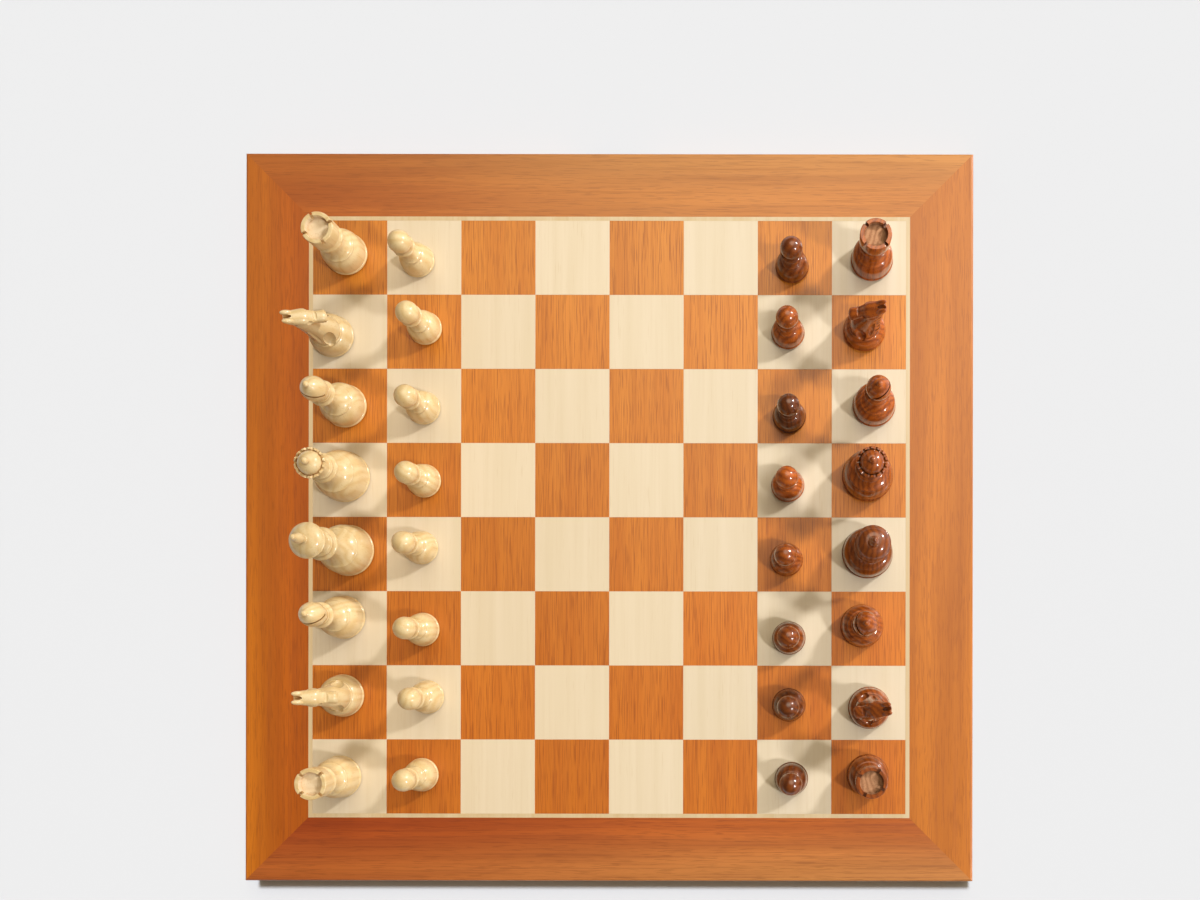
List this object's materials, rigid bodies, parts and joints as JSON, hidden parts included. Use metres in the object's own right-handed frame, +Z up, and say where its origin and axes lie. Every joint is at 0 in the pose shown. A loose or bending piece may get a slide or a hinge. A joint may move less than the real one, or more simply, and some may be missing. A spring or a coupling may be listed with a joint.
{
  "type": "electronic chess computer",
  "caption": "Flat wooden electronic chess board with mitred rails, inlaid squares over a sensing board, and turned weighted chessmen that lift off.",
  "frame": {"origin": "centre of the board on the table, under its feet", "axes": "+Z up from the table, +X from the white men to the black men, +Y towards the rail that holds the port"},
  "size_m": [0.54, 0.54, 0.1168],
  "materials": {
    "rail_wood": "satin lacquered reddish brown veneer, grain along each rail",
    "spline_wood": "raw plywood",
    "inlay_wood": "pale satin lacquered line",
    "light_veneer": "pale satin lacquered veneer",
    "dark_veneer": "orange brown satin lacquered veneer with dark pores",
    "fibreboard": "raw brown fibreboard",
    "bottom_board": "black painted fibreboard",
    "circuit_board": "green solder mask",
    "copper": "bare copper foil",
    "batten_wood": "planed softwood",
    "screw_steel": "zinc plated steel",
    "foot_rubber": "matt black rubber",
    "chip_plastic": "moulded black epoxy",
    "radio_can": "tinned steel can",
    "battery_wrap": "blue heat-shrink wrap",
    "port_plastic": "fine textured black plastic",
    "button_plastic": "smooth black plastic",
    "socket_steel": "nickel plated steel",
    "switch_plastic": "black moulded plastic",
    "light_pipe": "clear moulded light pipe",
    "ribbon_plastic": "grey-white ribbon cable",
    "lead_sleeve": "black sleeved battery lead",
    "boxwood": "gloss lacquered cream-yellow turned wood",
    "stained_wood": "gloss lacquered dark reddish brown turned wood"
  },
  "bodies": {
    "board": {"rail_front": "rail_wood", "rail_back": "rail_wood", "rail_left": "rail_wood", "rail_right": "rail_wood", "mitre_splines": "spline_wood", "inlay_strips": "inlay_wood", "light_squares": "light_veneer", "dark_squares": "dark_veneer", "playing_panel": "fibreboard", "bottom_panel": "bottom_board", "sensor_board": "circuit_board", "row_loops": "copper", "column_loops": "copper", "support_battens": "batten_wood", "bottom_screws": "screw_steel", "small_screws": "screw_steel", "feet": "foot_rubber", "main_board": "circuit_board", "processor": "chip_plastic", "radio_module": "radio_can", "battery_pack": "battery_wrap", "port_plate": "port_plastic", "usb_socket": "socket_steel", "button_switch": "switch_plastic", "status_light": "light_pipe", "ribbon_cable": "ribbon_plastic", "battery_lead": "lead_sleeve"},
    "power_button": {"power_button": "button_plastic"},
    "white_rook_a": {"white_rook_a": "boxwood"},
    "white_knight_b": {"white_knight_b": "boxwood"},
    "white_bishop_c": {"white_bishop_c": "boxwood"},
    "white_queen": {"white_queen": "boxwood"},
    "white_king": {"white_king": "boxwood"},
    "white_bishop_f": {"white_bishop_f": "boxwood"},
    "white_knight_g": {"white_knight_g": "boxwood"},
    "white_rook_h": {"white_rook_h": "boxwood"},
    "white_pawn_a": {"white_pawn_a": "boxwood"},
    "white_pawn_b": {"white_pawn_b": "boxwood"},
    "white_pawn_c": {"white_pawn_c": "boxwood"},
    "white_pawn_d": {"white_pawn_d": "boxwood"},
    "white_pawn_e": {"white_pawn_e": "boxwood"},
    "white_pawn_f": {"white_pawn_f": "boxwood"},
    "white_pawn_g": {"white_pawn_g": "boxwood"},
    "white_pawn_h": {"white_pawn_h": "boxwood"},
    "black_rook_a": {"black_rook_a": "stained_wood"},
    "black_knight_b": {"black_knight_b": "stained_wood"},
    "black_bishop_c": {"black_bishop_c": "stained_wood"},
    "black_queen": {"black_queen": "stained_wood"},
    "black_king": {"black_king": "stained_wood"},
    "black_bishop_f": {"black_bishop_f": "stained_wood"},
    "black_knight_g": {"black_knight_g": "stained_wood"},
    "black_rook_h": {"black_rook_h": "stained_wood"},
    "black_pawn_a": {"black_pawn_a": "stained_wood"},
    "black_pawn_b": {"black_pawn_b": "stained_wood"},
    "black_pawn_c": {"black_pawn_c": "stained_wood"},
    "black_pawn_d": {"black_pawn_d": "stained_wood"},
    "black_pawn_e": {"black_pawn_e": "stained_wood"},
    "black_pawn_f": {"black_pawn_f": "stained_wood"},
    "black_pawn_g": {"black_pawn_g": "stained_wood"},
    "black_pawn_h": {"black_pawn_h": "stained_wood"}
  },
  "joints": [
    {"name": "power_button_press", "type": "slide", "parent": "board", "child": "power_button", "axis": [0, -1, 0], "range_m": [0, 0.001], "stiffness_N_per_m": 600},
    {"name": "white_rook_a_lift", "type": "slide", "parent": "board", "child": "white_rook_a", "axis": [0, 0, 1], "range_m": [0, 0.12]},
    {"name": "white_knight_b_lift", "type": "slide", "parent": "board", "child": "white_knight_b", "axis": [0, 0, 1], "range_m": [0, 0.12]},
    {"name": "white_bishop_c_lift", "type": "slide", "parent": "board", "child": "white_bishop_c", "axis": [0, 0, 1], "range_m": [0, 0.12]},
    {"name": "white_queen_lift", "type": "slide", "parent": "board", "child": "white_queen", "axis": [0, 0, 1], "range_m": [0, 0.12]},
    {"name": "white_king_lift", "type": "slide", "parent": "board", "child": "white_king", "axis": [0, 0, 1], "range_m": [0, 0.12]},
    {"name": "white_bishop_f_lift", "type": "slide", "parent": "board", "child": "white_bishop_f", "axis": [0, 0, 1], "range_m": [0, 0.12]},
    {"name": "white_knight_g_lift", "type": "slide", "parent": "board", "child": "white_knight_g", "axis": [0, 0, 1], "range_m": [0, 0.12]},
    {"name": "white_rook_h_lift", "type": "slide", "parent": "board", "child": "white_rook_h", "axis": [0, 0, 1], "range_m": [0, 0.12]},
    {"name": "white_pawn_a_lift", "type": "slide", "parent": "board", "child": "white_pawn_a", "axis": [0, 0, 1], "range_m": [0, 0.12]},
    {"name": "white_pawn_b_lift", "type": "slide", "parent": "board", "child": "white_pawn_b", "axis": [0, 0, 1], "range_m": [0, 0.12]},
    {"name": "white_pawn_c_lift", "type": "slide", "parent": "board", "child": "white_pawn_c", "axis": [0, 0, 1], "range_m": [0, 0.12]},
    {"name": "white_pawn_d_lift", "type": "slide", "parent": "board", "child": "white_pawn_d", "axis": [0, 0, 1], "range_m": [0, 0.12]},
    {"name": "white_pawn_e_lift", "type": "slide", "parent": "board", "child": "white_pawn_e", "axis": [0, 0, 1], "range_m": [0, 0.12]},
    {"name": "white_pawn_f_lift", "type": "slide", "parent": "board", "child": "white_pawn_f", "axis": [0, 0, 1], "range_m": [0, 0.12]},
    {"name": "white_pawn_g_lift", "type": "slide", "parent": "board", "child": "white_pawn_g", "axis": [0, 0, 1], "range_m": [0, 0.12]},
    {"name": "white_pawn_h_lift", "type": "slide", "parent": "board", "child": "white_pawn_h", "axis": [0, 0, 1], "range_m": [0, 0.12]},
    {"name": "black_rook_a_lift", "type": "slide", "parent": "board", "child": "black_rook_a", "axis": [0, 0, 1], "range_m": [0, 0.12]},
    {"name": "black_knight_b_lift", "type": "slide", "parent": "board", "child": "black_knight_b", "axis": [0, 0, 1], "range_m": [0, 0.12]},
    {"name": "black_bishop_c_lift", "type": "slide", "parent": "board", "child": "black_bishop_c", "axis": [0, 0, 1], "range_m": [0, 0.12]},
    {"name": "black_queen_lift", "type": "slide", "parent": "board", "child": "black_queen", "axis": [0, 0, 1], "range_m": [0, 0.12]},
    {"name": "black_king_lift", "type": "slide", "parent": "board", "child": "black_king", "axis": [0, 0, 1], "range_m": [0, 0.12]},
    {"name": "black_bishop_f_lift", "type": "slide", "parent": "board", "child": "black_bishop_f", "axis": [0, 0, 1], "range_m": [0, 0.12]},
    {"name": "black_knight_g_lift", "type": "slide", "parent": "board", "child": "black_knight_g", "axis": [0, 0, 1], "range_m": [0, 0.12]},
    {"name": "black_rook_h_lift", "type": "slide", "parent": "board", "child": "black_rook_h", "axis": [0, 0, 1], "range_m": [0, 0.12]},
    {"name": "black_pawn_a_lift", "type": "slide", "parent": "board", "child": "black_pawn_a", "axis": [0, 0, 1], "range_m": [0, 0.12]},
    {"name": "black_pawn_b_lift", "type": "slide", "parent": "board", "child": "black_pawn_b", "axis": [0, 0, 1], "range_m": [0, 0.12]},
    {"name": "black_pawn_c_lift", "type": "slide", "parent": "board", "child": "black_pawn_c", "axis": [0, 0, 1], "range_m": [0, 0.12]},
    {"name": "black_pawn_d_lift", "type": "slide", "parent": "board", "child": "black_pawn_d", "axis": [0, 0, 1], "range_m": [0, 0.12]},
    {"name": "black_pawn_e_lift", "type": "slide", "parent": "board", "child": "black_pawn_e", "axis": [0, 0, 1], "range_m": [0, 0.12]},
    {"name": "black_pawn_f_lift", "type": "slide", "parent": "board", "child": "black_pawn_f", "axis": [0, 0, 1], "range_m": [0, 0.12]},
    {"name": "black_pawn_g_lift", "type": "slide", "parent": "board", "child": "black_pawn_g", "axis": [0, 0, 1], "range_m": [0, 0.12]},
    {"name": "black_pawn_h_lift", "type": "slide", "parent": "board", "child": "black_pawn_h", "axis": [0, 0, 1], "range_m": [0, 0.12]}
  ]
}
